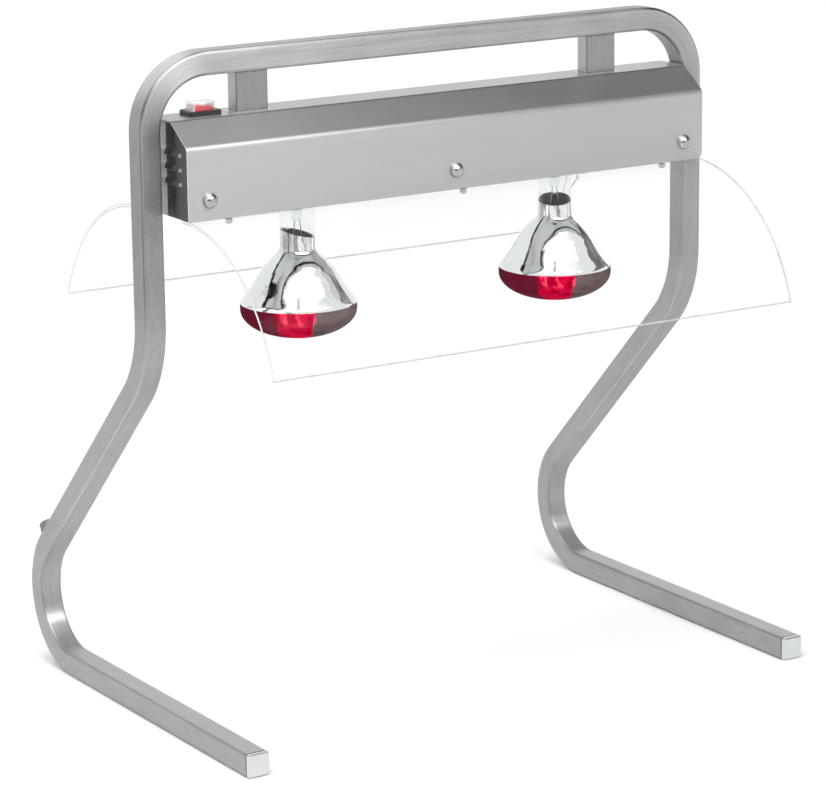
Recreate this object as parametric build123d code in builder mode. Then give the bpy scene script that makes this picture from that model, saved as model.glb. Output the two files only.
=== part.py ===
from build123d import *
import os
from math import sin, cos, tan, radians, sqrt, pi

# Infrared food-warming gantry: a bent square-tube frame carries a sheet-metal lamp
# housing with two reflector heat lamps and a clear curved guard on each side.
# Millimetres. +Z is up, +X to the right, -Y is the serving (front) side.
# The origin is the centre of the footprint, on the table.

os.makedirs("parts", exist_ok=True)

# ---------------------------------------------------------------- driving sizes
tube = 25.0                 # square tube
tube_wall = 1.5
tube_r = 3.6                # outer corner radius of the tube
leg_x = 332.0               # centreline of each leg
bar_z = 679.2               # centreline of the top bar
bar_bend = 65.0             # centreline radius of the top corners
weld_z = 598.0              # butt weld between bar and legs
upper_bend = 115.0          # centreline radius of the 45 degree bend
lower_bend = 71.0           # centreline radius of the 135 degree bend
knee_z = 373.2              # where the upright and slant centrelines would meet
foot_front = 198.2          # tube end ahead of the leg plane
cap_face = 4.0

post_x = 213.7              # posts between bar and housing
post_w = 37.0
post_d = 18.0
post_wall = 1.5

house_half = 314.5          # half length of the housing
house_top = 626.8
house_flat = 21.5           # half width of the flat top
house_side = 55.0           # half width over the vertical sides
house_knee = 603.4          # height where slope meets side
house_low = 530.0
sheet = 1.2

guard_t = 3.0
guard_half = 313.0
guard_r = 175.4             # mid-sheet radius
guard_flat_front = 45.0
guard_flat_back = 55.0
guard_lip = 38.0            # inner edge of the guard flange
guard_sweep_front = 74.7
guard_sweep_back = 71.2
guard_screw_x = 265.8
guard_screw_y = 48.5

cover_screw_x = 290.0
cover_screw_z = 549.9

lamp_x = 159.5
lamp_rim_z = 415.0          # widest circle of the lamp
lamp_r = 60.3
lamp_bottom = 386.0
lamp_edge_z = 421.6         # where the red glass meets the silvering
lamp_neck_r = 18.0
silver_top = 494.0

switch_x = -268.4

# leg plane offset that puts the origin at the centre of the footprint
knee_run = knee_z - tube / 2
rear_centre_y = knee_run - lower_bend * tan(radians(67.5)) + lower_bend
leg_rear = rear_centre_y + tube / 2
guard_front = guard_flat_front + (guard_r + guard_t / 2) * sin(radians(guard_sweep_front))
y0 = -(leg_rear - guard_front) / 2


def ipoint(p, d, q, e):
    """Crossing of two lines in a plane."""
    den = d[0] * e[1] - d[1] * e[0]
    k = ((q[0] - p[0]) * e[1] - (q[1] - p[1]) * e[0]) / den
    return (p[0] + d[0] * k, p[1] + d[1] * k)


def roof(inset, low):
    """Corner points (y, z) of the housing section, moved inwards by inset."""
    sy, sz = house_side - house_flat, house_top - house_knee
    ln = sqrt(sy * sy + sz * sz)
    n = (sz / ln, sy / ln)
    p = (house_side - n[0] * inset, house_knee - n[1] * inset)
    d = (-sy, sz)
    knee = ipoint(p, d, (house_side - inset, 0), (0, 1))
    top = ipoint(p, d, (0, house_top - inset), (1, 0))
    return [(y0 - knee[0], low), (y0 - knee[0], knee[1]), (y0 - top[0], top[1]),
            (y0 + top[0], top[1]), (y0 + knee[0], knee[1]), (y0 + knee[0], low)]


def at_corner(found, p):
    """The sketch vertices that stand at section corner p, in the sketch's own axes."""
    return [v for v in found if abs(v.X - p[0]) < 0.01 and abs(v.Y - p[1]) < 0.01]


def lead_radii(pts):
    """Bend radii of a lead: each arc as large as its two runs allow."""
    v = [Vector(*p) for p in pts]
    out = []
    for i in range(1, len(v) - 1):
        a, b = v[i] - v[i - 1], v[i + 1] - v[i]
        turn = a.get_angle(b)
        out.append(0.45 * min(a.length, b.length) / tan(radians(turn / 2)))
    return out


def save(part, name):
    part.label = name
    export_step(part, "parts/" + name + ".step")


# ---------------------------------------------------------------- frame tubes
s45 = sin(radians(45))
up_t = upper_bend * tan(radians(22.5))
lo_t = lower_bend * tan(radians(67.5))
a1 = (y0, knee_z + up_t)                                   # end of the upright
c1 = (y0 + upper_bend, knee_z + up_t)
a2 = (c1[0] - upper_bend * s45, c1[1] - upper_bend * s45)  # start of the slant
m1 = (c1[0] - upper_bend * cos(radians(22.5)), c1[1] - upper_bend * sin(radians(22.5)))
corner = (y0 + knee_run, tube / 2)
a3 = (corner[0] - lo_t * s45, corner[1] + lo_t * s45)      # end of the slant
a4 = (corner[0] - lo_t, tube / 2)                          # start of the foot
c2 = (a4[0], tube / 2 + lower_bend)
m2 = (c2[0] + lower_bend * cos(radians(-22.5)), c2[1] + lower_bend * sin(radians(-22.5)))
a5 = (y0 - foot_front, tube / 2)

gland_low = 144.0           # height of the gland's seat on the rear face of the slant
gland_plane = Plane(origin=(-leg_x, y0 + knee_z + tube * s45 - gland_low, gland_low),
                    x_dir=(1, 0, 0), z_dir=(0, s45, s45))

for side, sx in (("left", -1), ("right", 1)):
    with BuildPart() as leg:
        with BuildLine(Plane.YZ.offset(sx * leg_x)):
            Line((y0, weld_z), a1)
            ThreePointArc(a1, m1, a2)
            Line(a2, a3)
            ThreePointArc(a3, m2, a4)
            Line(a4, a5)
        with BuildSketch(Plane.XY.offset(weld_z)):
            with Locations((sx * leg_x, y0)):
                RectangleRounded(tube, tube, tube_r)
                RectangleRounded(tube - 2 * tube_wall, tube - 2 * tube_wall,
                                 tube_r - tube_wall, mode=Mode.SUBTRACT)
        sweep()
        if sx < 0:
            # cord entry in the rear face of the slant
            with BuildSketch(gland_plane.offset(1)):
                Circle(6.1)
            extrude(amount=-5, mode=Mode.SUBTRACT)
    save(leg.part, "leg_" + side)

with BuildPart() as frame_bar:
    q = bar_bend * (1 - s45)
    with BuildLine(Plane(origin=(0, y0, 0), x_dir=(1, 0, 0), z_dir=(0, -1, 0))):
        Line((-leg_x, weld_z), (-leg_x, bar_z - bar_bend))
        ThreePointArc((-leg_x, bar_z - bar_bend), (-leg_x + q, bar_z - q), (-leg_x + bar_bend, bar_z))
        Line((-leg_x + bar_bend, bar_z), (leg_x - bar_bend, bar_z))
        ThreePointArc((leg_x - bar_bend, bar_z), (leg_x - q, bar_z - q), (leg_x, bar_z - bar_bend))
        Line((leg_x, bar_z - bar_bend), (leg_x, weld_z))
    with BuildSketch(Plane.XY.offset(weld_z)):
        with Locations((-leg_x, y0)):
            RectangleRounded(tube, tube, tube_r)
            RectangleRounded(tube - 2 * tube_wall, tube - 2 * tube_wall,
                             tube_r - tube_wall, mode=Mode.SUBTRACT)
    sweep()
    # cord hole over the left post
    with BuildSketch(Plane.XY.offset(bar_z - tube / 2 - 1)):
        with Locations((-post_x, y0)):
            Circle(4.5)
    extrude(amount=tube_wall + 2, mode=Mode.SUBTRACT)
save(frame_bar.part, "frame_bar")

# push-in end caps: a flange with a bevelled face, standing off the tube by a narrow groove
for side, sx in (("left", -1), ("right", 1)):
    with BuildPart() as cap:
        with BuildSketch(Plane(origin=(sx * leg_x, y0 - foot_front, tube / 2),
                               x_dir=(1, 0, 0), z_dir=(0, -1, 0))):
            RectangleRounded(tube - 2.6, tube - 2.6, tube_r - 1.3)
        extrude(amount=0.9)
        with BuildSketch(Plane(origin=(sx * leg_x, y0 - foot_front - 0.9, tube / 2),
                               x_dir=(1, 0, 0), z_dir=(0, -1, 0))):
            RectangleRounded(tube - 0.4, tube - 0.4, tube_r - 1.2)
        extrude(amount=cap_face - 1.7)
        with BuildSketch(Plane(origin=(sx * leg_x, y0 - foot_front - cap_face + 0.8, tube / 2),
                               x_dir=(1, 0, 0), z_dir=(0, -1, 0))):
            RectangleRounded(tube - 0.4, tube - 0.4, tube_r - 1.2)
        extrude(amount=0.8, taper=66)
        with BuildSketch(Plane(origin=(sx * leg_x, y0 - foot_front, tube / 2),
                               x_dir=(1, 0, 0), z_dir=(0, 1, 0))):
            RectangleRounded(tube - 2 * tube_wall - 0.1, tube - 2 * tube_wall - 0.1, tube_r - tube_wall)
            RectangleRounded(tube - 2 * tube_wall - 4, tube - 2 * tube_wall - 4, 1.0, mode=Mode.SUBTRACT)
        extrude(amount=14)
    save(cap.part, "foot_cap_" + side)

# ---------------------------------------------------------------- posts
post_low = house_top
post_high = bar_z - tube / 2
for side, sx in (("left", -1), ("right", 1)):
    with BuildPart() as post:
        with BuildSketch(Plane.XY.offset(post_low)):
            with Locations((sx * post_x, y0)):
                RectangleRounded(post_w, post_d, 1.8)
        extrude(amount=post_high - post_low)
        with BuildSketch(Plane.XY.offset(post_low + 3)):
            with Locations((sx * post_x, y0)):
                Rectangle(post_w - 2 * post_wall, post_d - 2 * post_wall)
        extrude(amount=post_high - post_low, mode=Mode.SUBTRACT)
        # two tapped holes and a cord hole in the closed foot
        with BuildSketch(Plane.XY.offset(post_low - 1)):
            with Locations((sx * post_x - 12, y0), (sx * post_x + 12, y0)):
                Circle(2.5)
            with Locations((sx * post_x, y0)):
                Circle(4.5)
        extrude(amount=6, mode=Mode.SUBTRACT)
    save(post.part, "post_" + side)

with BuildPart() as post_screws:
    with BuildSketch(Plane.XY.offset(house_top - sheet)):
        with Locations(*[(sx * post_x + d, y0) for sx in (-1, 1) for d in (-12, 12)]):
            Circle(4.4)
    extrude(amount=-2.6)
    with BuildSketch(Plane.XY.offset(house_top - sheet - 0.5)):
        with Locations(*[(sx * post_x + d, y0) for sx in (-1, 1) for d in (-12, 12)]):
            Circle(2.45)
    extrude(amount=8.0)
    with BuildSketch(Plane.XY.offset(house_top - sheet - 2.6)):
        with Locations(*[(sx * post_x + d, y0) for sx in (-1, 1) for d in (-12, 12)]):
            RegularPolygon(1.9, 6)
    extrude(amount=1.6, mode=Mode.SUBTRACT)
save(post_screws.part, "post_screws")

# ---------------------------------------------------------------- housing cover
with BuildPart() as housing_cover:
    with BuildSketch(Plane.YZ.offset(-house_half)):
        with BuildLine():
            Polyline(*roof(0, house_low), close=True)
        make_face()
        pts = roof(0, house_low)
        for p, r in ((pts[1], 8.0), (pts[4], 8.0), (pts[2], 4.0), (pts[3], 4.0)):
            fillet(at_corner(vertices(), p), r)
    extrude(amount=2 * house_half)
    with BuildSketch(Plane.YZ.offset(-house_half - 1)):
        with BuildLine():
            Polyline(*roof(sheet, house_low - 1), close=True)
        make_face()
        pts = roof(sheet, house_low - 1)
        for p, r in ((pts[1], 6.8), (pts[4], 6.8), (pts[2], 2.8), (pts[3], 2.8)):
            fillet(at_corner(vertices(), p), r)
    extrude(amount=2 * house_half + 2, mode=Mode.SUBTRACT)
    # rounded lower corners of both walls at the right end
    with BuildSketch(Plane(origin=(0, y0 - house_side - 5, 0), x_dir=(1, 0, 0), z_dir=(0, -1, 0))):
        with BuildLine():
            Line((house_half - 7, house_low), (house_half + 1, house_low))
            Line((house_half + 1, house_low), (house_half + 1, house_low + 7))
            Line((house_half + 1, house_low + 7), (house_half, house_low + 7))
            ThreePointArc((house_half, house_low + 7), (house_half - 7 * (1 - s45), house_low + 7 * (1 - s45)),
                          (house_half - 7, house_low))
        make_face()
    extrude(amount=-2 * house_side - 20, mode=Mode.SUBTRACT)
    # holes for the cover screws
    with BuildSketch(Plane(origin=(0, y0 - house_side - 5, 0), x_dir=(1, 0, 0), z_dir=(0, -1, 0))):
        with Locations(*[(x, cover_screw_z) for x in (-cover_screw_x, 0, cover_screw_x)]):
            Circle(2.1)
    extrude(amount=-2 * house_side - 20, mode=Mode.SUBTRACT)
    # post screws, cord holes and the switch cut-out in the top
    with BuildSketch(Plane.XY.offset(house_top - 4)):
        with Locations(*[(sx * post_x + d, y0) for sx in (-1, 1) for d in (-12, 12)]):
            Circle(2.6)
        with Locations((-post_x, y0)):
            Circle(4.5)
        with Locations((switch_x, y0)):
            Rectangle(28.2, 20.6)
    extrude(amount=8, mode=Mode.SUBTRACT)
save(housing_cover.part, "housing_cover")

# ---------------------------------------------------------------- end plates
louvre_lips = (593.0, 578.4, 563.8)
for side, sx, inset in (("left", -1, 1.6), ("right", 1, 8.5)):
    xo = sx * (house_half - inset)
    # three shallow louvre swellings with sloping ends
    with BuildPart() as louvres:
        for lip in louvre_lips:
            with BuildSketch(Plane(origin=(0, y0 - 40, 0), x_dir=(1, 0, 0), z_dir=(0, -1, 0))):
                with BuildLine():
                    Line((xo - sx * 0.4, lip), (xo + sx * 1.8, lip))
                    ThreePointArc((xo + sx * 1.8, lip), (xo + sx * 2.13, lip + 0.14), (xo + sx * 2.27, lip + 0.5))
                    ThreePointArc((xo + sx * 2.27, lip + 0.5), (xo + sx * 1.6, lip + 4.0), (xo - sx * 0.4, lip + 7.6))
                    Line((xo - sx * 0.4, lip + 7.6), (xo - sx * 0.4, lip))
                make_face()
            extrude(amount=-80)
            with BuildSketch(Plane.XY.offset(lip - 1)):
                for e in (-1, 1):
                    with BuildLine():
                        Polyline((xo, y0 + e * 40.5), (xo, y0 + e * 39.6), (xo + sx * 2.5, y0 + e * 36.9),
                                 (xo + sx * 2.5, y0 + e * 40.5), close=True)
                    make_face()
            extrude(amount=10, mode=Mode.SUBTRACT)
    with BuildPart() as plate:
        with BuildSketch(Plane.YZ.offset(xo)):
            with BuildLine():
                Polyline(*roof(sheet + 0.05, house_low), close=True)
            make_face()
            pts = roof(sheet + 0.05, house_low)
            for p, r in ((pts[1], 6.8), (pts[4], 6.8), (pts[2], 2.8), (pts[3], 2.8)):
                fillet(at_corner(vertices(), p), r)
        extrude(amount=-sx * 11)
        with BuildSketch(Plane.YZ.offset(xo - sx * sheet)):
            with BuildLine():
                Polyline(*roof(2 * sheet + 0.05, house_low - 1), close=True)
            make_face()
            pts = roof(2 * sheet + 0.05, house_low - 1)
            for p, r in ((pts[1], 5.6), (pts[4], 5.6), (pts[2], 1.6), (pts[3], 1.6)):
                fillet(at_corner(vertices(), p), r)
        extrude(amount=-sx * 12, mode=Mode.SUBTRACT)
        add(louvres.part)
        # the pressings are hollow and open below
        for lip in louvre_lips:
            with BuildSketch(Plane(origin=(0, y0 - 34.4, 0), x_dir=(1, 0, 0), z_dir=(0, -1, 0))):
                with BuildLine():
                    Polyline((xo - sx * 1.6, lip - 0.6), (xo + sx * 1.15, lip - 0.6), (xo + sx * 1.1, lip + 1.2),
                             (xo + sx * 0.5, lip + 3.4), (xo - sx * 0.5, lip + 5.2), (xo - sx * 1.6, lip + 6.4), close=True)
                make_face()
            extrude(amount=-68.8, mode=Mode.SUBTRACT)
    save(plate.part, "end_plate_" + side)

# ---------------------------------------------------------------- bottom pan
pan_half = house_half - 22
pan_side = house_side - sheet - 0.05
with BuildPart() as bottom_pan:
    with BuildSketch(Plane.YZ.offset(-pan_half)):
        with BuildLine():
            Polyline((y0 - pan_side, house_low), (y0 + pan_side, house_low), (y0 + pan_side, 562),
                     (y0 + pan_side - sheet, 562), (y0 + pan_side - sheet, house_low + sheet),
                     (y0 - pan_side + sheet, house_low + sheet), (y0 - pan_side + sheet, 562),
                     (y0 - pan_side, 562), close=True)
        make_face()
    extrude(amount=2 * pan_half)
    with BuildSketch(Plane.XY.offset(house_low - 2)):
        with Locations((-lamp_x, y0), (lamp_x, y0)):
            Circle(27)
        with Locations(*[(x, y0 + s * guard_screw_y) for x in (-guard_screw_x, 12, guard_screw_x) for s in (-1, 1)]):
            Circle(2.1)
    extrude(amount=6, mode=Mode.SUBTRACT)
    with BuildSketch(Plane(origin=(0, y0 - house_side - 5, 0), x_dir=(1, 0, 0), z_dir=(0, -1, 0))):
        with Locations(*[(x, cover_screw_z) for x in (-cover_screw_x, 0, cover_screw_x)]):
            Circle(2.1)
    extrude(amount=-2 * house_side - 20, mode=Mode.SUBTRACT)
save(bottom_pan.part, "bottom_pan")

# ---------------------------------------------------------------- cover screws and nuts
with BuildPart() as cover_screws:
    for s in (-1, 1):
        face = y0 + s * house_side
        for x in (-cover_screw_x, 0, cover_screw_x):
            with BuildSketch(Plane(origin=(x, face, cover_screw_z), x_dir=(1, 0, 0), z_dir=(0, 0, s))):
                with BuildLine():
                    Line((0, -9.0), (2.0, -9.0))
                    Line((2.0, -9.0), (2.0, 0))
                    Line((2.0, 0), (8.0, 0))
                    Line((8.0, 0), (8.0, 1.2))
                    ThreePointArc((8.0, 1.2), (8.261 * sin(0.7), 8.261 * cos(0.7) - 0.861), (1.2, 7.312))
                    Line((1.2, 7.312), (0, 7.312))
                    Line((0, 7.312), (0, -9.0))
                make_face()
            revolve(axis=Axis((x, face, cover_screw_z), (0, 1, 0)))
save(cover_screws.part, "cover_screws")

with BuildPart() as cover_nuts:
    for s in (-1, 1):
        face = y0 + s * (pan_side - sheet)
        for x in (-cover_screw_x, 0, cover_screw_x):
            with BuildSketch(Plane(origin=(x, face, cover_screw_z), x_dir=(1, 0, 0), z_dir=(0, -s, 0))):
                RegularPolygon(3.5, 6, major_radius=False)
                Circle(2.0, mode=Mode.SUBTRACT)
            extrude(amount=3.2)
save(cover_nuts.part, "cover_nuts")

# ---------------------------------------------------------------- clear guards
for name, s, flat, swp in (("guard_front", -1, guard_flat_front, guard_sweep_front),
                           ("guard_back", 1, guard_flat_back, guard_sweep_back)):
    zc = house_low - guard_t / 2 - guard_r
    ro, ri = guard_r + guard_t / 2, guard_r - guard_t / 2
    a, h = radians(swp), radians(swp / 2)
    with BuildPart() as guard:
        with BuildSketch(Plane.YZ.offset(-guard_half)):
            with BuildLine():
                Line((y0 + s * guard_lip, house_low), (y0 + s * flat, house_low))
                ThreePointArc((y0 + s * flat, house_low), (y0 + s * (flat + ro * sin(h)), zc + ro * cos(h)),
                              (y0 + s * (flat + ro * sin(a)), zc + ro * cos(a)))
                Line((y0 + s * (flat + ro * sin(a)), zc + ro * cos(a)),
                     (y0 + s * (flat + ri * sin(a)), zc + ri * cos(a)))
                ThreePointArc((y0 + s * (flat + ri * sin(a)), zc + ri * cos(a)),
                              (y0 + s * (flat + ri * sin(h)), zc + ri * cos(h)), (y0 + s * flat, zc + ri))
                Line((y0 + s * flat, zc + ri), (y0 + s * guard_lip, zc + ri))
                Line((y0 + s * guard_lip, zc + ri), (y0 + s * guard_lip, house_low))
            make_face()
        extrude(amount=2 * guard_half)
        with BuildSketch(Plane.XY.offset(house_low - 5)):
            with Locations(*[(x, y0 + s * guard_screw_y) for x in (-guard_screw_x, 12, guard_screw_x)]):
                Circle(2.4)
        extrude(amount=8, mode=Mode.SUBTRACT)
    save(guard.part, name)

guard_screw_at = [(x, y0 + s * guard_screw_y) for x in (-guard_screw_x, 12, guard_screw_x) for s in (-1, 1)]
with BuildPart() as guard_screws:
    with BuildSketch(Plane.XY.offset(house_low + sheet)):
        with Locations(*guard_screw_at):
            Circle(3.5)
    extrude(amount=2.6)
    with BuildSketch(Plane.XY.offset(522.4)):
        with Locations(*guard_screw_at):
            Circle(1.98)
    extrude(amount=house_low + sheet - 522.4 + 0.5)
save(guard_screws.part, "guard_screws")

with BuildPart() as guard_nuts:
    with BuildSketch(Plane.XY.offset(house_low - guard_t - 3.5)):
        with Locations(*guard_screw_at):
            RegularPolygon(3.5, 6, major_radius=False)
            Circle(1.98, mode=Mode.SUBTRACT)
    extrude(amount=3.2)
save(guard_nuts.part, "guard_nuts")

# ---------------------------------------------------------------- lamps
pitch = 3.62
thread_low, thread_high = 541.0, 557.0


def wave(z, base, amp=0.42):
    return base + amp * cos(2 * pi * (z - thread_low) / pitch)


steps = [thread_low + i * (thread_high - thread_low) / 36 for i in range(37)]


def bowl(inset):
    """Section points (r, z) of the lamp's face, from its pole to the silvering."""
    r, d = lamp_r - inset, lamp_rim_z - lamp_bottom - inset
    out = [(0.8, lamp_bottom + inset)]
    for i in range(1, 11):
        t = pi / 2 * i / 10
        out.append((r * sin(t) ** (2 / 2.1), lamp_rim_z - d * cos(t)))
    return out + [(r - 0.3, lamp_edge_z)]

for side, sx in (("left", -1), ("right", 1)):
    lx = sx * lamp_x
    ax = Axis((lx, y0, 0), (0, 0, 1))
    pl = Plane(origin=(lx, y0, 0), x_dir=(1, 0, 0), z_dir=(0, -1, 0))
    g = 1.0  # glass thickness
    # the silvering ends on a slant, and each lamp is screwed home at its own angle
    low = radians(-32.0 if side == "left" else -122.0)
    lean = radians(14.0)
    silver_edge = Plane(origin=(lx, y0, silver_top), z_dir=(sin(lean) * cos(low), sin(lean) * sin(low), cos(lean)))
    # red front bowl, open at the rim
    outer, inner = bowl(0), bowl(g)
    with BuildPart() as face:
        with BuildSketch(pl):
            with BuildLine():
                Line((0, lamp_bottom), outer[0])
                Spline(*outer)
                Line(outer[-1], inner[-1])
                Spline(*inner[::-1])
                Line(inner[0], (0, lamp_bottom + g))
                Line((0, lamp_bottom + g), (0, lamp_bottom))
            make_face()
        revolve(axis=ax)
    save(face.part, "lamp_" + side + "_red_face")

    # silvered reflector cone and lower neck
    prof = [(lamp_r - 0.3, lamp_edge_z), (59.0, 424.6), (56.3, 428.0), (52.6, 432.4), (48.6, 438.2), (43.1, 447.1),
            (37.7, 455.5), (31.3, 463.2), (24.5, 470.0), (19.6, 474.7), (lamp_neck_r, 479.3)]
    inner = ([(prof[0][0] - g, lamp_edge_z)] + [(r - g * 0.85, z - g * 0.5) for r, z in prof[1:10]] +
             [(lamp_neck_r - g, 479.0)])
    with BuildPart() as cone:
        with BuildSketch(pl):
            with BuildLine():
                Spline(*prof)
                Line(prof[-1], (lamp_neck_r, silver_top + 6))
                Line((lamp_neck_r, silver_top + 6), (lamp_neck_r - g, silver_top + 6))
                Line((lamp_neck_r - g, silver_top + 6), inner[-1])
                Spline(*inner[::-1])
                Line(inner[0], prof[0])
            make_face()
        revolve(axis=ax)
        split(bisect_by=silver_edge, keep=Keep.BOTTOM)
    save(cone.part, "lamp_" + side + "_reflector")

    # clear upper neck
    with BuildPart() as neck:
        with BuildSketch(pl):
            with BuildLine():
                Polyline((lamp_neck_r, silver_top - 6), (lamp_neck_r, 529.0), (16.6, 533.0), (13.4, 536.6), (11.6, 538.2),
                         (11.6, 541.0), (10.7, 541.0), (10.7, 537.6), (12.6, 536.0), (15.8, 532.4), (lamp_neck_r - g, 528.6),
                         (lamp_neck_r - g, silver_top - 6), close=True)
            make_face()
        revolve(axis=ax)
        split(bisect_by=silver_edge, keep=Keep.TOP)
    save(neck.part, "lamp_" + side + "_neck")

    # flared glass stem with its pinched foot, exhaust tube inside the neck
    with BuildPart() as stem:
        with BuildSketch(pl):
            with BuildLine():
                Polyline((0, 508.0), (5.2, 508.0), (5.6, 516.0), (5.6, 530.0), (7.4, 536.0), (10.6, 539.6), (10.6, 540.9),
                         (6.8, 538.2), (4.6, 532.0), (4.6, 518.0), (0, 518.0), close=True)
            make_face()
        revolve(axis=ax)
    save(stem.part, "lamp_" + side + "_stem")

    # lead wires, coiled filament and its two hooks
    with BuildPart() as filament:
        for s in (-1, 1):
            with BuildLine():
                Polyline((lx + s * 2.6, y0, 507.9), (lx + s * 5.0, y0, 490.0), (lx + s * 14.0, y0, 458.0))
            with BuildSketch(Plane(origin=(lx + s * 2.6, y0, 507.9), z_dir=(s * 2.4, 0, -17.9))):
                Circle(0.5)
            sweep(transition=Transition.ROUND)
        with BuildLine():
            ThreePointArc((lx - 14.0, y0, 458.0), (lx, y0 - 13.0, 456.0), (lx + 14.0, y0, 458.0))
        with BuildSketch(Plane(origin=(lx - 14.0, y0, 458.0), z_dir=(0.08, -1, -0.15))):
            Circle(1.1)
        sweep()
    save(filament.part, "lamp_" + side + "_filament")

    # E27 screw cap, drawn as rings at thread pitch
    with BuildPart() as screw_cap:
        with BuildSketch(pl):
            with BuildLine():
                Polyline(*([(12.1, 538.3), (13.0, 539.0), (12.9, thread_low - 0.4)] +
                           [(wave(z, 12.55), z) for z in steps] +
                           [(12.2, thread_high + 1.0), (10.2, thread_high + 3.0), (6.6, thread_high + 4.4),
                            (6.2, thread_high + 4.0), (9.8, thread_high + 2.4), (11.65, thread_high + 0.8),
                            (11.7, thread_low + 0.4), (11.7, 538.3)]), close=True)
            make_face()
        revolve(axis=ax)
    save(screw_cap.part, "lamp_" + side + "_screw_cap")

    with BuildPart() as tip:
        with BuildSketch(pl):
            with BuildLine():
                Polyline((0, thread_high + 3.6), (6.1, thread_high + 3.9), (6.1, thread_high + 4.5),
                         (5.0, thread_high + 5.2), (4.9, thread_high + 6.0), (3.0, thread_high + 6.8),
                         (0, thread_high + 7.0), close=True)
            make_face()
        revolve(axis=ax)
    save(tip.part, "lamp_" + side + "_contact")

    # ceramic lampholder
    with BuildPart() as holder:
        with BuildSketch(pl):
            with BuildLine():
                Polyline((14.95, 537.0), (19.5, 537.0), (21.0, 538.5), (21.0, 560.0), (22.5, 562.0), (22.5, 584.0),
                         (21.0, 586.0), (0, 586.0), (0, 570.0), (14.95, 570.0), close=True)
            make_face()
        revolve(axis=ax)
        with BuildSketch(Plane.XY.offset(569)):
            with Locations((lx - 8, y0), (lx + 8, y0)):
                Circle(2.2)
            with Locations((lx, y0)):
                Circle(2.0)
        extrude(amount=18, mode=Mode.SUBTRACT)
    save(holder.part, "lampholder_" + side)

    # threaded metal sleeve inside the holder
    with BuildPart() as sleeve:
        with BuildSketch(pl):
            with BuildLine():
                Polyline(*([(14.9, 538.5), (14.9, 569.9), (9.0, 569.9), (9.0, 569.3), (13.4, 569.3), (13.4, 558.5)] +
                           [(wave(z, 12.9), z) for z in steps[::-1]] +
                           [(13.4, thread_low - 0.5), (13.4, 538.5)]), close=True)
            make_face()
        revolve(axis=ax)
    save(sleeve.part, "lampholder_" + side + "_sleeve")

    # sprung centre contact, pressed down by the lamp's tip
    with BuildPart() as tongue:
        with BuildSketch(pl):
            with BuildLine():
                Polyline((-8.4, 567.4), (-8.4, 568.2), (-4.0, 568.2), (-1.0, 565.2), (3.0, 565.2), (4.6, 566.2),
                         (5.0, 565.6), (3.2, 564.4), (-1.4, 564.4), (-4.4, 567.4), close=True)
            make_face()
        extrude(amount=3.0, both=True)
        with BuildSketch(Plane.XY.offset(568.2)):
            with Locations((lx - 6.2, y0)):
                Circle(1.6)
        extrude(amount=1.7)
    save(tongue.part, "lampholder_" + side + "_tongue")

    # steel bracket from the pan to the top of the holder
    with BuildPart() as bracket:
        with BuildSketch(pl):
            with BuildLine():
                Polyline((-44.0, house_low + sheet), (-28.5, house_low + sheet), (-28.5, 586.0), (10.0, 586.0),
                         (10.0, 587.5), (-30.0, 587.5), (-30.0, house_low + sheet + 1.5),
                         (-44.0, house_low + sheet + 1.5), close=True)
            make_face()
        extrude(amount=9, both=True)
        with BuildSketch(Plane.XY.offset(585)):
            with Locations((lx, y0)):
                Circle(2.2)
            with Locations((lx - 8, y0), (lx + 8, y0)):
                Circle(2.2)
        extrude(amount=4, mode=Mode.SUBTRACT)
    save(bracket.part, "bracket_" + side)

# ---------------------------------------------------------------- holder and bracket fasteners
with BuildPart() as holder_screws:
    with BuildSketch(Plane.XY.offset(587.5)):
        with Locations(*[(sx * lamp_x + d, y0) for sx in (-1, 1) for d in (-8, 8)]):
            Circle(3.6)
    extrude(amount=2.4)
    with BuildSketch(Plane.XY.offset(574)):
        with Locations(*[(sx * lamp_x + d, y0) for sx in (-1, 1) for d in (-8, 8)]):
            Circle(2.1)
    extrude(amount=14)
save(holder_screws.part, "holder_screws")

with BuildPart() as bracket_rivets:
    with BuildSketch(Plane.XY.offset(house_low + sheet + 1.5)):
        with Locations(*[(sx * lamp_x - 37.5, y0 + d) for sx in (-1, 1) for d in (-4.5, 4.5)]):
            Circle(2.6)
    extrude(amount=1.4)
save(bracket_rivets.part, "bracket_rivets")

# ---------------------------------------------------------------- rocker switch under a clear boot
top = house_top
with BuildPart() as switch_bezel:
    with BuildSketch(Plane.XY.offset(top)):
        with Locations((switch_x, y0)):
            RectangleRounded(35.4, 24.6, 1.6)
            Rectangle(26.2, 19.0, mode=Mode.SUBTRACT)
    extrude(amount=5.0)
    with BuildSketch(Plane.XY.offset(top + 3.0)):
        with Locations((switch_x, y0)):
            Rectangle(31.0, 21.4)
    extrude(amount=3.0, mode=Mode.SUBTRACT)
    chamfer(switch_bezel.faces().sort_by(Axis.Z)[-1].outer_wire().edges(), 0.8)
save(switch_bezel.part, "switch_bezel")

with BuildPart() as switch_body:
    with BuildSketch(Plane.XY.offset(top - 24.0)):
        with Locations((switch_x, y0)):
            Rectangle(26.0, 18.8)
    extrude(amount=26.8)
    with BuildSketch(Plane.XY.offset(top - 13.0)):
        with Locations((switch_x, y0)):
            Rectangle(23.0, 15.0)
    extrude(amount=18.0, mode=Mode.SUBTRACT)
    # bearing for the rocker's pins
    with BuildSketch(Plane(origin=(switch_x, y0, top + 1.0), x_dir=(1, 0, 0), z_dir=(0, -1, 0))):
        Circle(1.26)
    extrude(amount=9.0, both=True, mode=Mode.SUBTRACT)
    # snap wings under the sheet
    with BuildSketch(Plane.XY.offset(top - 8.0)):
        with Locations((switch_x - 13.4, y0), (switch_x + 13.4, y0)):
            Rectangle(0.9, 9.0)
    extrude(amount=6.6)
save(switch_body.part, "switch_body")

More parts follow.
